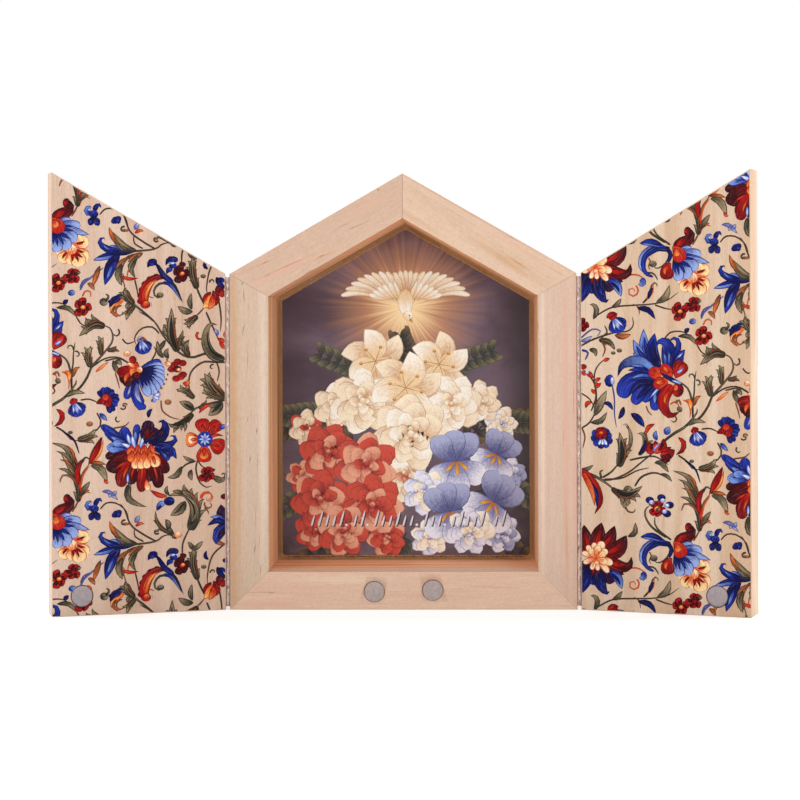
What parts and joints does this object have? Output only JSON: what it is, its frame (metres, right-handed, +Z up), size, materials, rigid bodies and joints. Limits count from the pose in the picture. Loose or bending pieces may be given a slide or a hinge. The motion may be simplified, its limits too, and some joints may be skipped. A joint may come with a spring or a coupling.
{
  "type": "folding devotional triptych",
  "caption": "Small house-shaped wooden shadow box with a recessed picture plate and sloping printed doors that fold shut over it on cloth hinges and hold closed on magnets.",
  "frame": {"origin": "middle of the frame's underside, which rests on the table", "axes": "+X to the viewer's right, +Y from the open front to the back, +Z up"},
  "size_m": [0.2019, 0.0446, 0.1256],
  "materials": {
    "pale_wood": "bare, sanded smooth, pale straight-grained softwood",
    "printed_wood": "pale wood with an all-over floral print in blue, red, maroon and olive ink",
    "backboard_wood": "bare thin board",
    "picture_print": "satin colour print on a thin plate",
    "magnet_steel": "dull nickel plate",
    "hinge_cloth": "fine woven tape, glued down"
  },
  "bodies": {
    "frame": {"frame_left_stile": "pale_wood", "frame_right_stile": "pale_wood", "frame_bottom_rail": "pale_wood", "frame_left_rafter": "pale_wood", "frame_right_rafter": "pale_wood", "backboard": "backboard_wood", "picture_plate": "picture_print", "frame_left_magnet": "magnet_steel", "frame_right_magnet": "magnet_steel", "left_hinge_tape": "hinge_cloth", "right_hinge_tape": "hinge_cloth"},
    "left_door": {"left_door": "printed_wood", "left_door_magnet": "magnet_steel"},
    "right_door": {"right_door": "printed_wood", "right_door_magnet": "magnet_steel"}
  },
  "joints": [
    {"name": "left_door_hinge", "type": "hinge", "parent": "frame", "child": "left_door", "pos_m": [-0.0505, -0.01415, 0], "axis": [0, 0, 1], "range_deg": [-17, 163]},
    {"name": "right_door_hinge", "type": "hinge", "parent": "frame", "child": "right_door", "pos_m": [0.0505, -0.01415, 0], "axis": [0, 0, -1], "range_deg": [-19.5, 160.5]}
  ]
}
